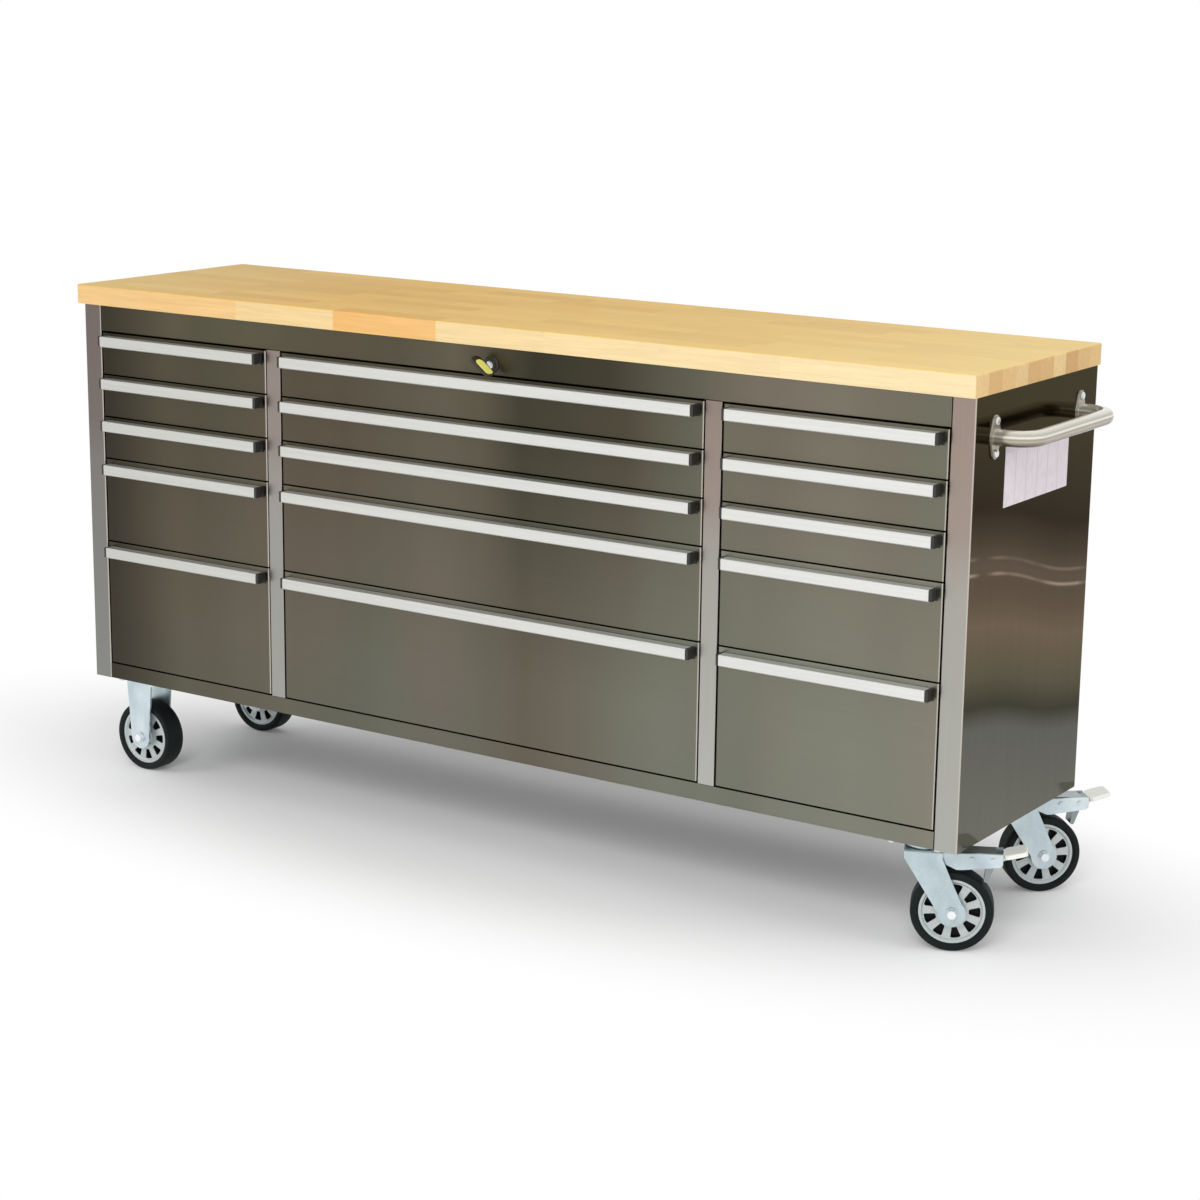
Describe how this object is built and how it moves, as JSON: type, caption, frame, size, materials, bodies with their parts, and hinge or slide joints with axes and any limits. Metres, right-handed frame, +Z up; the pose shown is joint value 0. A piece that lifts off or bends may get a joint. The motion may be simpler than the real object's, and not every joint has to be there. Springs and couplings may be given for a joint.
{
  "type": "rolling tool chest",
  "caption": "Long stainless rolling tool chest with three banks of drawers, full-width channel pulls, a butcher-block worktop, a tube push handle and brake casters.",
  "frame": {"origin": "on the floor, under the middle of the whole chest at rest", "axes": "+X along the length towards the push handle, -Y out of the drawer fronts, +Z up"},
  "size_m": [1.8986, 0.5458, 0.928],
  "materials": {
    "butcher_block": "oiled, finger jointed",
    "brushed_stainless": "brushed",
    "polished_stainless": "polished",
    "zinc_sheet": "grey coated",
    "slide_steel": "zinc plated",
    "black_plastic": "matte",
    "key_plastic": "smooth",
    "polished_tube": "polished",
    "fastener_steel": "plated",
    "card": "matte",
    "zinc_fork": "zinc plated",
    "pedal_plastic": "satin",
    "pull_aluminium": "satin anodised",
    "rim_alloy": "satin",
    "tyre_rubber": "matte"
  },
  "bodies": {
    "cabinet": {"worktop": "butcher_block", "side_panel_left": "polished_stainless", "side_panel_right": "polished_stainless", "back_panel": "brushed_stainless", "top_fascia": "brushed_stainless", "bottom_rail": "brushed_stainless", "dividers": "brushed_stainless", "base_pan": "zinc_sheet", "slide_rails": "slide_steel", "lock_body": "black_plastic", "push_handle": "polished_tube", "handle_bolts": "fastener_steel", "label_card": "card", "rigid_forks": "zinc_fork", "swivel_plates": "zinc_fork", "caster_bolts": "fastener_steel"},
    "drawer_body_left_1": {"drawer_left_1": "brushed_stainless", "pull_left_1": "pull_aluminium"},
    "drawer_body_left_2": {"drawer_left_2": "brushed_stainless", "pull_left_2": "pull_aluminium"},
    "drawer_body_left_3": {"drawer_left_3": "brushed_stainless", "pull_left_3": "pull_aluminium"},
    "drawer_body_left_4": {"drawer_left_4": "brushed_stainless", "pull_left_4": "pull_aluminium"},
    "drawer_body_left_5": {"drawer_left_5": "brushed_stainless", "pull_left_5": "pull_aluminium"},
    "drawer_body_centre_1": {"drawer_centre_1": "brushed_stainless", "pull_centre_1": "pull_aluminium"},
    "drawer_body_centre_2": {"drawer_centre_2": "brushed_stainless", "pull_centre_2": "pull_aluminium"},
    "drawer_body_centre_3": {"drawer_centre_3": "brushed_stainless", "pull_centre_3": "pull_aluminium"},
    "drawer_body_centre_4": {"drawer_centre_4": "brushed_stainless", "pull_centre_4": "pull_aluminium"},
    "drawer_body_centre_5": {"drawer_centre_5": "brushed_stainless", "pull_centre_5": "pull_aluminium"},
    "drawer_body_right_1": {"drawer_right_1": "brushed_stainless", "pull_right_1": "pull_aluminium"},
    "drawer_body_right_2": {"drawer_right_2": "brushed_stainless", "pull_right_2": "pull_aluminium"},
    "drawer_body_right_3": {"drawer_right_3": "brushed_stainless", "pull_right_3": "pull_aluminium"},
    "drawer_body_right_4": {"drawer_right_4": "brushed_stainless", "pull_right_4": "pull_aluminium"},
    "drawer_body_right_5": {"drawer_right_5": "brushed_stainless", "pull_right_5": "pull_aluminium"},
    "keys": {"lock_keys": "key_plastic"},
    "swivel_front": {"swivel_fork_front": "zinc_fork"},
    "wheel_right_front": {"rim_right_front": "rim_alloy", "tyre_right_front": "tyre_rubber"},
    "wheel_left_front": {"rim_left_front": "rim_alloy", "tyre_left_front": "tyre_rubber"},
    "pedal_front": {"brake_pedal_front": "pedal_plastic"},
    "swivel_rear": {"swivel_fork_rear": "zinc_fork"},
    "wheel_right_rear": {"rim_right_rear": "rim_alloy", "tyre_right_rear": "tyre_rubber"},
    "wheel_left_rear": {"rim_left_rear": "rim_alloy", "tyre_left_rear": "tyre_rubber"},
    "pedal_rear": {"brake_pedal_rear": "pedal_plastic"}
  },
  "joints": [
    {"name": "open_left_1", "type": "slide", "parent": "cabinet", "child": "drawer_body_left_1", "axis": [0, -1, 0], "range_m": [0, 0.3]},
    {"name": "open_left_2", "type": "slide", "parent": "cabinet", "child": "drawer_body_left_2", "axis": [0, -1, 0], "range_m": [0, 0.3]},
    {"name": "open_left_3", "type": "slide", "parent": "cabinet", "child": "drawer_body_left_3", "axis": [0, -1, 0], "range_m": [0, 0.3]},
    {"name": "open_left_4", "type": "slide", "parent": "cabinet", "child": "drawer_body_left_4", "axis": [0, -1, 0], "range_m": [0, 0.3]},
    {"name": "open_left_5", "type": "slide", "parent": "cabinet", "child": "drawer_body_left_5", "axis": [0, -1, 0], "range_m": [0, 0.3]},
    {"name": "open_centre_1", "type": "slide", "parent": "cabinet", "child": "drawer_body_centre_1", "axis": [0, -1, 0], "range_m": [0, 0.3]},
    {"name": "open_centre_2", "type": "slide", "parent": "cabinet", "child": "drawer_body_centre_2", "axis": [0, -1, 0], "range_m": [0, 0.3]},
    {"name": "open_centre_3", "type": "slide", "parent": "cabinet", "child": "drawer_body_centre_3", "axis": [0, -1, 0], "range_m": [0, 0.3]},
    {"name": "open_centre_4", "type": "slide", "parent": "cabinet", "child": "drawer_body_centre_4", "axis": [0, -1, 0], "range_m": [0, 0.3]},
    {"name": "open_centre_5", "type": "slide", "parent": "cabinet", "child": "drawer_body_centre_5", "axis": [0, -1, 0], "range_m": [0, 0.3]},
    {"name": "open_right_1", "type": "slide", "parent": "cabinet", "child": "drawer_body_right_1", "axis": [0, -1, 0], "range_m": [0, 0.3]},
    {"name": "open_right_2", "type": "slide", "parent": "cabinet", "child": "drawer_body_right_2", "axis": [0, -1, 0], "range_m": [0, 0.3]},
    {"name": "open_right_3", "type": "slide", "parent": "cabinet", "child": "drawer_body_right_3", "axis": [0, -1, 0], "range_m": [0, 0.3]},
    {"name": "open_right_4", "type": "slide", "parent": "cabinet", "child": "drawer_body_right_4", "axis": [0, -1, 0], "range_m": [0, 0.3]},
    {"name": "open_right_5", "type": "slide", "parent": "cabinet", "child": "drawer_body_right_5", "axis": [0, -1, 0], "range_m": [0, 0.3]},
    {"name": "key_turn", "type": "hinge", "parent": "cabinet", "child": "keys", "pos_m": [-0.01035, -0.2339, 0.8625], "axis": [0, 1, 0], "range_deg": [0, 90]},
    {"name": "swivel_turn_front", "type": "hinge", "parent": "cabinet", "child": "swivel_front", "pos_m": [0.79465, -0.1779, 0.066], "axis": [0, 0, 1], "continuous": true},
    {"name": "wheel_turn_right_front", "type": "hinge", "parent": "swivel_front", "child": "wheel_right_front", "pos_m": [0.8379, -0.15709, 0.066], "axis": [-0.4337, 0.9011, 0], "continuous": true},
    {"name": "wheel_turn_left_front", "type": "hinge", "parent": "cabinet", "child": "wheel_left_front", "pos_m": [-0.85735, -0.1779, 0.066], "axis": [0, 1, 0], "continuous": true},
    {"name": "brake_press_front", "type": "hinge", "parent": "swivel_front", "child": "pedal_front", "pos_m": [0.89197, -0.13107, 0.154], "axis": [-0.4337, 0.9011, 0], "range_deg": [0, 14]},
    {"name": "swivel_turn_rear", "type": "hinge", "parent": "cabinet", "child": "swivel_rear", "pos_m": [0.79465, 0.1511, 0.066], "axis": [0, 0, 1], "continuous": true},
    {"name": "wheel_turn_right_rear", "type": "hinge", "parent": "swivel_rear", "child": "wheel_right_rear", "pos_m": [0.83032, 0.18322, 0.066], "axis": [-0.6691, 0.7431, 0], "continuous": true},
    {"name": "wheel_turn_left_rear", "type": "hinge", "parent": "cabinet", "child": "wheel_left_rear", "pos_m": [-0.85735, 0.1511, 0.066], "axis": [0, 1, 0], "continuous": true},
    {"name": "brake_press_rear", "type": "hinge", "parent": "swivel_rear", "child": "pedal_rear", "pos_m": [0.87491, 0.22336, 0.154], "axis": [-0.6691, 0.7431, 0], "range_deg": [0, 14]}
  ]
}
